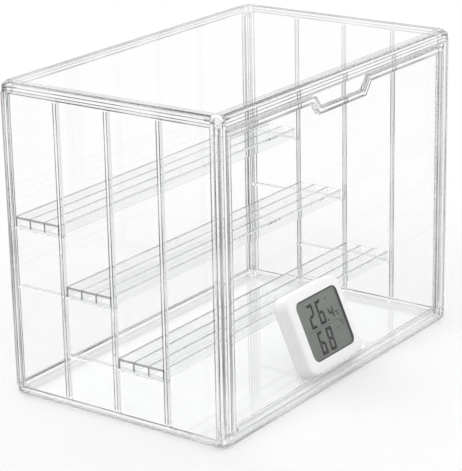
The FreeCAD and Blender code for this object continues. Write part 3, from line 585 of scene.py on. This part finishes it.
@dataclass(frozen=True)
class ShellPlastic(Finish):
    """White satin moulding with a fine spark-etched grain; painted shade darkens the window opening's inner wall."""

    name: str = "gauge_white_satin"
    white: Colour = (0.89, 0.89, 0.885)
    worn: Colour = (0.84, 0.835, 0.82)
    # Colour of the painted shade on the window opening's inner wall.
    edge: Colour = (0.035, 0.037, 0.037)
    opening: tuple[float, float, float, float] = (0.0, 35.4 * MM, 28.9 * MM, 24.8 * MM)
    opening_corner: float = 6.0 * MM
    opening_depth: float = 1.8 * MM
    wall_reach: Point = (0.12 * MM, 0.04 * MM)
    wall_from: Point = (0.15 * MM, 0.35 * MM)
    wall_fade: float = 0.3 * MM
    mark_size: float = 0.018
    mark_limits: Point = (0.5, 0.8)
    roughness: Point = (0.36, 0.48)
    grain_size: float = 0.00035
    grain_height: float = 0.00003

    def lay_out(self, draft: Draft) -> None:
        """White with faint handling marks, and a band of painted shade where the opening's wall goes in behind the
        face.

        Args:
            draft: the material.
        """
        place = draft.place()
        across, depth, height = SEAT.local(draft)
        middle_u, middle_v, half_u, half_v = self.opening
        beyond_u = ((across - middle_u).size() - (half_u - self.opening_corner)).most(0.0)
        beyond_v = ((height - middle_v).size() - (half_v - self.opening_corner)).most(0.0)
        reach = (beyond_u * beyond_u + beyond_v * beyond_v).root()
        inside = (reach - self.opening_corner).rise(*self.wall_reach)
        wall_end = depth.rise(self.opening_depth + self.wall_fade, self.opening_depth)
        marks = draft.noise(place, self.mark_size, 3.0)
        body = draft.blend(marks.rise(*self.mark_limits), self.white, self.worn)
        grain = draft.noise(place, self.grain_size, 1.0)
        # The opening's wall gets the painted shade colour.
        draft.show(draft.principled({
            "Base Color": draft.blend(inside * depth.rise(*self.wall_from) * wall_end, body, self.edge),
            "Roughness": marks.span(*self.roughness), "Normal": draft.bump(grain, self.grain_height, 0.5)}))


@dataclass(frozen=True)
class DisplayGlass(Finish):
    """Grey-green reflective display with a painted shadow along its rim and a faint row structure."""

    name: str = "gauge_display_glass"
    field: Colour = (0.251, 0.264, 0.236)
    shade: Colour = (0.226, 0.236, 0.211)
    # Colour of the painted shadow that the window's edge casts on the display.
    rim: Colour = (0.07, 0.075, 0.07)
    middle: float = 35.0 * MM
    half_size: Point = (26.9 * MM, 23.3 * MM)
    rim_blend: float = 0.8 * MM
    drift: Point = (59.0 * MM, 12.0 * MM)
    row_pitch: float = 0.4 * MM
    row_height: float = 0.000004
    roughness: Point = (0.32, 0.38)
    gloss: float = 0.1

    def lay_out(self, draft: Draft) -> None:
        """Grey field, a little darker towards its lower end, with a dark rim painted as the window edge's shadow.

        Args:
            draft: the material.
        """
        across, _, height = SEAT.local(draft)
        rows = (height * (math.tau / self.row_pitch)).wave() * 0.5 + 0.5
        half_u, half_v = self.half_size
        # Painted shadow: the rim band is set off-centre, wider at the top, where the edge's shadow falls.
        rim = (across.size() - half_u).most((height - self.middle).size() - half_v).rise(0.0, self.rim_blend)
        field = draft.blend(height.rise(*self.drift), self.field, self.shade)
        draft.show(draft.principled({
            "Base Color": draft.blend(rim, field, self.rim), "Roughness": rows.span(*self.roughness),
            "Specular IOR Level": self.gloss, "Normal": draft.bump(rows, self.row_height, 0.4)}))


@dataclass(frozen=True)
class InkedMark(Finish):
    """Dark display segments."""

    name: str = "gauge_display_ink"
    ink: Colour = (0.006, 0.007, 0.007)
    thin: Colour = (0.012, 0.013, 0.012)
    patch_size: float = 0.004
    roughness: Point = (0.4, 0.5)

    def lay_out(self, draft: Draft) -> None:
        """Near black, with a faint unevenness."""
        patches = draft.noise(draft.place(), self.patch_size)
        draft.show(draft.principled({"Base Color": draft.blend(patches, self.ink, self.thin),
                                     "Roughness": patches.span(*self.roughness), "Specular IOR Level": 0.0}))


@dataclass(frozen=True)
class SolderMask(Finish):
    """Green circuit board with tracks under its mask and tinned pads."""

    name: str = "gauge_board_green"
    mask: Colour = (0.02, 0.13, 0.06)
    track: Colour = (0.04, 0.22, 0.1)
    tin: Colour = (0.62, 0.63, 0.62)
    bend_size: float = 0.008
    bend: float = 3.0 * MM
    track_pitch: float = 1.6 * MM
    track_limits: Point = (0.2, 0.5)
    track_height: float = 0.00003
    pad_pitch: float = 4.0 * MM
    pad_limits: Point = (0.93, 0.97)
    roughness: Point = (0.38, 0.28)

    def lay_out(self, draft: Draft) -> None:
        """Tracks run up the board in a fine stripe that noise bends and breaks; pads are a grid of dots.

        Args:
            draft: the material.
        """
        across, _, height = SEAT.local(draft)
        bent = across + draft.noise(draft.place(), self.bend_size) * self.bend
        stripes = (bent * (math.tau / self.track_pitch)).wave().rise(*self.track_limits)
        pad_turn = math.tau / self.pad_pitch
        dots = ((across * pad_turn).wave() * (height * pad_turn).wave()).rise(*self.pad_limits)
        colour = draft.blend(dots, draft.blend(stripes, self.mask, self.track), self.tin)
        draft.show(draft.principled({"Base Color": colour, "Roughness": dots.span(*self.roughness), "Metallic": dots,
                                     "Normal": draft.bump(stripes, self.track_height, 0.6)}))


@dataclass(frozen=True)
class BlackMoulding(Finish):
    """Black moulded plastic of small electrical parts."""

    name: str = "gauge_black_moulding"
    dark: Colour = (0.018, 0.018, 0.019)
    dusty: Colour = (0.035, 0.035, 0.034)
    dust_size: float = 0.003
    roughness: Point = (0.35, 0.55)
    grain_size: float = 0.0003
    grain_height: float = 0.00002

    def lay_out(self, draft: Draft) -> None:
        """Black with a fine grain and a trace of dust.

        Args:
            draft: the material.
        """
        place = draft.place()
        dust, grain = draft.noise(place, self.dust_size, 3.0), draft.noise(place, self.grain_size, 1.0)
        draft.show(draft.principled({"Base Color": draft.blend(dust, self.dark, self.dusty),
                                     "Roughness": dust.span(*self.roughness),
                                     "Normal": draft.bump(grain, self.grain_height, 0.5)}))


@dataclass(frozen=True)
class BrightSteel(Finish):
    """Plated steel with fine drawn lines."""

    name: str = "gauge_bright_steel"
    bright: Colour = (0.68, 0.68, 0.67)
    dull: Colour = (0.52, 0.52, 0.51)
    stretch: Triple = (1.0, 14.0, 14.0)
    line_size: float = 0.004
    line_height: float = 0.00001
    roughness: Point = (0.2, 0.4)

    def lay_out(self, draft: Draft) -> None:
        """Metal whose lines are noise stretched along one axis.

        Args:
            draft: the material.
        """
        lines = draft.noise(draft.stretched(draft.place(), self.stretch), self.line_size, 3.0)
        draft.show(draft.principled({"Base Color": draft.blend(lines, self.bright, self.dull), "Metallic": 1.0,
                                     "Roughness": lines.span(*self.roughness),
                                     "Normal": draft.bump(lines, self.line_height, 0.5)}))


class Paint(Enum):
    """The finishes used on the object."""

    CORNER = ClearPlastic()
    SIDE = SidePlastic("case_clear_side", Broad.ACROSS, edge=(0.8, 0.81, 0.81), edge_from=8.0 * MM,
                       line_half=0.55 * MM)
    BACK = ClearPlastic("case_clear_back", Broad.DEPTH, edge=(0.4, 0.405, 0.41), edge_from=5.0 * MM,
                        line=(0.02, 0.021, 0.022), line_half=0.95 * MM)
    DOOR = DoorPlastic("case_clear_door", Broad.DEPTH, edge=(0.8, 0.81, 0.815), line=(0.09, 0.092, 0.094),
                       lines=(0.6 * MM, 4.4 * MM), line_half=0.5 * MM, rim_width=6.5 * MM, gloss=0.9,
                       pane_refraction=1.2)
    TOP = ClearPlastic("case_clear_top", Broad.HEIGHT, edge_from=8.0 * MM, line=(0.07, 0.072, 0.074),
                       lines=(0.6 * MM, 3.2 * MM, 5.8 * MM, 8.4 * MM), line_half=0.45 * MM)
    BASE = ClearPlastic("case_clear_base", Broad.HEIGHT, edge_from=8.0 * MM, round=(0.96, 0.965, 0.97),
                        line=(0.4, 0.405, 0.41), lines=(1.7 * MM, 3.3 * MM, 4.9 * MM, 8.0 * MM), line_half=0.4 * MM,
                        rim_shade=(0.5, 0.505, 0.51), absorption=0.4, gloss=0.98)
    SHELF = ShelfPlastic("case_clear_shelf", Broad.HEIGHT, edge=(0.92, 0.93, 0.93), line=(0.34, 0.35, 0.35),
                         lines=(6.9 * MM, 20.7 * MM), line_half=0.8 * MM, rim_width=0.0, absorption=2.2)
    WINDOW = ClearPlastic("gauge_window_clear", rim_width=0.0, gloss=0.15, refraction=1.15, scuff=0.015,
                          ripple=0.000004)
    SHELL = ShellPlastic()
    DISPLAY = DisplayGlass()
    MARK = InkedMark()
    BOARD = SolderMask()
    BLACK = BlackMoulding()
    STEEL = BrightSteel()


def dress(names: Sequence[str], paint: Paint) -> None:
    """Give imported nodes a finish.

    Args:
        names: the nodes.
        paint: their finish.
    """
    for name in names:
        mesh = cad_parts[name].data
        mesh.materials.clear()
        mesh.materials.append(paint.value.material())
        LOG.info("%s: %s", name, paint.value.name)


def tubes(rings: np.ndarray) -> tuple[np.ndarray, np.ndarray]:
    """Skin several closed tubes.

    Each tube is a row of rings with the same number of points; neighbouring rings are joined by quads,
    and the first and last rings, of four points, close the tube.

    Args:
        rings: points of shape tubes, rings, 4, 3.

    Returns:
        Vertices of shape n, 3 and quads of shape m, 4.
    """
    count, length, around, _ = rings.shape
    numbers = np.arange(count * length * around).reshape(count, length, around)
    turned = np.roll(numbers, -1, axis=2)
    sides = np.stack([numbers[:, :-1], turned[:, :-1], turned[:, 1:], numbers[:, 1:]], axis=-1).reshape(-1, 4)
    caps = np.concatenate([numbers[:, 0, ::-1], numbers[:, -1]])
    return rings.reshape(-1, 3), np.concatenate([sides, caps])


def mesh_piece(name: str, vertices: np.ndarray, faces: np.ndarray, paint: Paint, body: str) -> None:
    """Put a worked-out surface into the scene.

    Args:
        name: the piece's name.
        vertices: points in metres in the case's frame.
        faces: vertex numbers of each face.
        paint: its finish.
        body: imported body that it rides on.
    """
    mesh = bpy.data.meshes.new(name)
    mesh.from_pydata(vertices.tolist(), [], faces.tolist())
    mesh.validate()
    mesh.materials.append(paint.value.material())
    piece = bpy.data.objects.new(name, mesh)
    bpy.context.scene.collection.objects.link(piece)
    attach(piece, body)
    LOG.info("%s: %d faces on %s", name, len(faces), body)


@dataclass(frozen=True)
class Case:
    """Clear panels, corner connectors, shelves and the door with its pins."""

    sides: tuple[str, ...] = ("left_side_panel", "right_side_panel")
    back: tuple[str, ...] = ("back_panel",)
    door: tuple[str, ...] = ("front_door",)
    top: tuple[str, ...] = ("top_panel",)
    base: tuple[str, ...] = ("base_panel",)
    shelves: tuple[str, ...] = ("lower_shelf", "middle_shelf", "upper_shelf")
    pins: tuple[str, ...] = ("door_hinge_pin_left", "door_hinge_pin_right")

    def corners(self) -> list[str]:
        """Names of the eight corner connectors."""
        return [f"corner_{end}_{side}_{level}" for end in ("front", "back") for side in ("left", "right")
                for level in ("top", "bottom")]

    def dress(self) -> None:
        """Give every clear piece its finish."""
        dress(self.sides, Paint.SIDE)
        dress(self.back, Paint.BACK)
        dress(self.door, Paint.DOOR)
        dress(self.top, Paint.TOP)
        dress(self.base, Paint.BASE)
        dress(self.shelves, Paint.SHELF)
        dress([*self.corners(), *self.pins], Paint.CORNER)


class Digit(Enum):
    """Lit bars of a seven-bar numeral: top, upper left, upper right, middle, lower left, lower right, bottom."""

    TWO = (1, 0, 1, 1, 1, 0, 1)
    FOUR = (0, 1, 1, 1, 0, 1, 0)
    SIX = (1, 1, 0, 1, 1, 1, 1)
    EIGHT = (1, 1, 1, 1, 1, 1, 1)


@dataclass(frozen=True)
class Stroke:
    """One bar or arc on the display.

    A bar's left and right sides may reach beyond its middle line, or fall short of it, at each end; that mitres
    its ends. The whole bar leans to the right by a share of its height above its foot.
    """

    start: Point
    end: Point
    width: float
    from_start: Point = (0.0, 0.0)
    past_end: Point = (0.0, 0.0)
    lean: float = 0.0
    foot: float = 0.0
    pointed: bool = False
    radius: float = 0.0
    angles: Point = (0.0, 0.0)
    tip: float = 0.02

    def line(self, share: np.ndarray) -> np.ndarray:
        """Middle line: start to end in equal steps, or a circle's arc about the start point.

        Args:
            share: shares of the way, as a column.

        Returns:
            One point for each share, in millimetres on the face.
        """
        if self.radius == 0.0:
            return np.array(self.start) + share * (np.array(self.end) - np.array(self.start))
        angle = np.radians(self.angles[0] + share * (self.angles[1] - self.angles[0]))
        return np.array(self.start) + self.radius * np.concatenate([np.cos(angle), np.sin(angle)], axis=1)

    def sides(self, steps: int) -> np.ndarray:
        """Both sides: half a width to the left and right of the middle line, drawn out along it at the ends.

        A pointed bar's half width falls with the distance from its nearer end.

        Args:
            steps: number of points along the bar.

        Returns:
            Points of shape steps, 2 sides, 2.
        """
        share = np.linspace(0.0, 1.0, steps)[:, None]
        line = self.line(share)
        along = np.gradient(line, axis=0)
        along /= np.linalg.norm(along, axis=1, keepdims=True)
        across = np.stack([-along[:, 1], along[:, 0]], axis=1)
        half = np.full_like(share, self.width / 2)
        if self.pointed:
            half = np.minimum(half, np.minimum(share, 1.0 - share) * np.linalg.norm(line[-1] - line[0]) + self.tip)
        reach = self.width / 2 * (share * np.array(self.past_end) - (1.0 - share) * np.array(self.from_start))
        left = line + half * across + along * reach[:, :1]
        right = line - half * across + along * reach[:, 1:]
        both = np.stack([left, right], axis=1)
        both[..., 0] += self.lean * (both[..., 1] - self.foot)
        return both


@dataclass(frozen=True)
class DisplayMarks:
    """Numerals, point, dividing rule and unit marks that the display shows, in millimetres on its face."""

    depth: float = 1.86
    thickness: float = 0.04
    bar: float = 2.4
    small_bar: float = 1.9
    gap: float = 0.06
    lean: float = 0.06
    steps: int = 33

    def numeral(self, digit: Digit, low: Point, size: Point, width: float) -> list[Stroke]:
        """Lay out the lit bars of one numeral; outer bars meet in mitres and the pointed middle bar lies between.

        Args:
            digit: which bars are lit.
            low: lower left corner.
            size: width and height.
            width: the bars' width.

        Returns:
            The bars.
        """
        left, right = low[0] + width / 2, low[0] + size[0] - width / 2
        bottom, top = low[1] + width / 2, low[1] + size[1] - width / 2
        middle = (bottom + top) / 2
        g = 2.0 * self.gap / width
        out, back, half = 1.0 - g, -1.0 - g, -g
        bars = [((left, top), (right, top), (out, back), (out, back)),
                ((left, middle), (left, top), (half, back), (out, back)),
                ((right, middle), (right, top), (back, half), (back, out)),
                ((left, middle), (right, middle), (half, half), (half, half)),
                ((left, bottom), (left, middle), (out, back), (half, back)),
                ((right, bottom), (right, middle), (back, out), (back, half)),
                ((left, bottom), (right, bottom), (back, out), (back, out))]
        return [Stroke(start, end, width, first, last, self.lean, low[1], first == (half, half))
                for lit, (start, end, first, last) in zip(digit.value, bars) if lit]

    def ring(self, middle: Point, radius: float, width: float, angles: Point = (0.0, 360.0)) -> Stroke:
        """A circle or an arc."""
        return Stroke(middle, middle, width, radius=radius, angles=angles)

    def strokes(self) -> list[Stroke]:
        """Lay out everything that is lit: a temperature over a humidity, with a rule between them.

        Returns:
            The bars, rule, rings and arcs.
        """
        tall, low = (8.2, 19.4), (8.0, 18.6)
        marks = self.numeral(Digit.TWO, (-16.2, 35.0), tall, self.bar)
        marks += self.numeral(Digit.SIX, (-3.6, 35.0), tall, self.bar)
        marks += self.numeral(Digit.FOUR, (10.1, 35.4), (6.6, 9.8), self.small_bar)
        marks.append(Stroke((6.4, 36.2), (8.2, 36.2), 1.8))
        marks += self.numeral(Digit.SIX, (-14.6, 13.2), low, self.bar)
        marks += self.numeral(Digit.EIGHT, (-2.4, 13.2), low, self.bar)
        marks.append(Stroke((-23.0, 33.4), (23.0, 33.4), 0.3))
        marks += [self.ring((19.4, 40.0), 0.6, 0.6), self.ring((22.0, 38.0), 1.5, 0.9, (50.0, 310.0))]
        marks += [self.ring((21.4, 31.4), 0.6, 0.5), self.ring((24.2, 28.6), 0.6, 0.5),
                  Stroke((21.2, 28.2), (24.4, 31.8), 0.6)]
        marks += [Stroke((11.4, 51.8), (12.4, 53.8), 0.5), Stroke((12.4, 53.8), (13.4, 51.8), 0.5),
                  self.ring((15.2, 26.8), 0.9, 0.4)]
        return marks

    def build(self) -> None:
        """Carry a thin rectangle along every stroke: across it by its half width, and through by the thickness."""
        sides = np.stack([stroke.sides(self.steps) for stroke in self.strokes()])
        face = sides[:, :, [0, 1, 1, 0]]
        depth = self.depth + self.thickness * np.array([-0.5, -0.5, 0.5, 0.5])
        depth = np.broadcast_to(depth, face.shape[:3])
        rings = SEAT.world(face[..., 0] * MM, depth * MM, face[..., 1] * MM)
        vertices, faces = tubes(rings)
        mesh_piece("gauge_display_marks", vertices, faces, Paint.MARK, "gauge")


@dataclass(frozen=True)
class Gauge:
    """Climate gauge: white shells, display, electronics, stand, button and battery cover."""

    shells: tuple[str, ...] = ("gauge_front_shell", "gauge_back_shell", "gauge_stand", "gauge_battery_cover",
                               "gauge_mode_button")
    steel: tuple[str, ...] = ("gauge_cell_contact", "gauge_coin_cell", "gauge_screws", "gauge_stand_pin")
    black: tuple[str, ...] = ("gauge_sensor", "gauge_cell_holder", "gauge_push_switch")
    marks: DisplayMarks = DisplayMarks()

    def dress(self) -> None:
        """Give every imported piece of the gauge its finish."""
        dress(self.shells, Paint.SHELL)
        dress(self.steel, Paint.STEEL)
        dress(self.black, Paint.BLACK)
        dress(("gauge_window",), Paint.WINDOW)
        dress(("gauge_display_panel",), Paint.DISPLAY)
        dress(("gauge_circuit_board",), Paint.BOARD)

    def build(self) -> None:
        """Add what the display shows."""
        self.marks.build()


@dataclass(frozen=True)
class Lamp:
    """A soft square lamp that faces the object."""

    name: str
    place: Triple
    size: float
    power: float
    aim: Triple = (0.0, 0.0, 0.1)

    def build(self) -> None:
        """Add the lamp."""
        data = bpy.data.lights.new(self.name, "AREA")
        data.size = self.size
        data.energy = self.power
        lamp = bpy.data.objects.new(self.name, data)
        lamp.location = self.place
        lamp.rotation_euler = (Vector(self.aim) - Vector(self.place)).to_track_quat("-Z", "Y").to_euler()
        bpy.context.scene.collection.objects.link(lamp)


@dataclass(frozen=True)
class Studio:
    """Pale floor, soft lamps, a room that is bright along the horizon, and the camera."""

    floor_half: float = 5.0
    floor_colour: Colour = (0.96, 0.96, 0.96)
    floor_roughness: float = 0.55
    near_white: Point = (0.2, 0.5)
    white_share: float = 0.4
    soft_light: float = 0.5
    zenith: float = 0.5
    white_band: Point = (0.75, 0.45)
    lamps: tuple[Lamp, ...] = (Lamp("key_lamp", (-0.9, -0.6, 1.5), 1.2, 10.0),
                               Lamp("fill_lamp", (0.9, -0.9, 1.5), 1.0, 6.0),
                               Lamp("back_lamp", (0.2, 1.4, 1.2), 1.0, 9.0))
    azimuth: float = math.radians(-54.364)
    elevation: float = math.radians(18.572)
    roll: float = math.radians(-1.148)
    distance: float = 1.574
    focal_pixels: float = 1989.0
    frame_height: float = 471.0
    sensor: float = 36.0
    aim_height: float = 0.125
    shift: Point = (0.004834, 0.021758)

    def background_ray(self, draft: Draft) -> Signal:
        """Tell rays that show the background: from the camera, or by way of gloss or clear pieces.

        Args:
            draft: material or world that needs them.

        Returns:
            1 for such a ray.
        """
        path = draft.node("ShaderNodeLightPath", {}, {})
        camera, gloss, through = (Signal(draft, path.outputs[name])
                                  for name in ("Is Camera Ray", "Is Glossy Ray", "Is Transmission Ray"))
        return camera.most(gloss).most(through)

    def floor(self) -> None:
        """Flat floor that turns plain white away from the object, where only its shadow would matter."""
        side = np.array([-self.floor_half, self.floor_half])
        across, along = np.meshgrid(side, side)
        vertices = np.stack([across.ravel(), along.ravel(), np.zeros(4)], axis=-1)
        mesh = bpy.data.meshes.new("floor")
        mesh.from_pydata(vertices.tolist(), [], [(0, 1, 3, 2)])
        material = bpy.data.materials.new("floor")
        material.use_nodes = True
        draft = Draft(material.node_tree)
        x, y, _ = draft.axes(draft.place())
        far = (x * x + y * y).root().rise(*self.near_white).span(self.white_share, 1.0)
        plain = draft.principled({"Base Color": (*self.floor_colour, 1.0), "Roughness": self.floor_roughness})
        white = draft.node("ShaderNodeEmission", {}, {"Color": (1.0, 1.0, 1.0, 1.0)}).outputs[0]
        draft.show(draft.mixed(far * self.background_ray(draft), plain, white))
        mesh.materials.append(material)
        floor = bpy.data.objects.new("floor", mesh)
        bpy.context.scene.collection.objects.link(floor)

    def room(self) -> None:
        """World light: even and soft, but shown as a white room that is dark overhead."""
        world = bpy.data.worlds.new("studio_room")
        world.use_nodes = True
        draft = Draft(world.node_tree)
        _, _, height = draft.axes(draft.node("ShaderNodeTexCoord", {}, {}).outputs["Generated"])
        shown = height.rise(*self.white_band).span(self.zenith, 1.0)
        level = self.background_ray(draft) * (shown - self.soft_light) + self.soft_light
        camera = Signal(draft, draft.node("ShaderNodeLightPath", {}, {}).outputs["Is Camera Ray"])
        back = draft.node("ShaderNodeBackground", {}, {"Color": (1.0, 1.0, 1.0, 1.0), "Strength": level.most(camera)})
        draft.node("ShaderNodeOutputWorld", {}, {"Surface": back.outputs[0]})
        bpy.context.scene.world = world

    def camera(self) -> None:
        """Camera at the photograph's angle, level apart from a small roll."""
        sine, cosine = math.sin(self.azimuth), math.cos(self.azimuth)
        back = Vector((sine * math.cos(self.elevation), -cosine * math.cos(self.elevation), math.sin(self.elevation)))
        level = Vector((0.0, 0.0, 1.0)).cross(back).normalized()
        upright = back.cross(level)
        right = math.cos(self.roll) * level + math.sin(self.roll) * upright
        up = math.cos(self.roll) * upright - math.sin(self.roll) * level
        data = bpy.data.cameras.new("photo_camera")
        data.sensor_width = self.sensor
        data.lens = self.focal_pixels / self.frame_height * data.sensor_width
        camera = bpy.data.objects.new("photo_camera", data)
        camera.matrix_world = Matrix((right, up, back)).transposed().to_4x4()
        aim = Vector((0.0, 0.0, self.aim_height))
        camera.location = aim - self.shift[0] * right - self.shift[1] * up + self.distance * back
        bpy.context.scene.collection.objects.link(camera)
        bpy.context.scene.camera = camera

    def build(self) -> None:
        """Add everything around the object."""
        scene = bpy.context.scene
        scene.view_settings.view_transform = "Standard"
        scene.cycles.max_bounces = 160
        scene.cycles.transmission_bounces = 64
        scene.cycles.glossy_bounces = 128
        scene.cycles.transparent_max_bounces = 64
        self.floor()
        self.room()
        for lamp in self.lamps:
            lamp.build()
        self.camera()


def main() -> None:
    """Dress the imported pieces, add the new ones and set the studio around them."""
    logging.basicConfig(level=logging.INFO, format="%(message)s")
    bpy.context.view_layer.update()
    Case().dress()
    gauge = Gauge()
    gauge.dress()
    gauge.build()
    Studio().build()


if __name__ == "__main__":
    main()
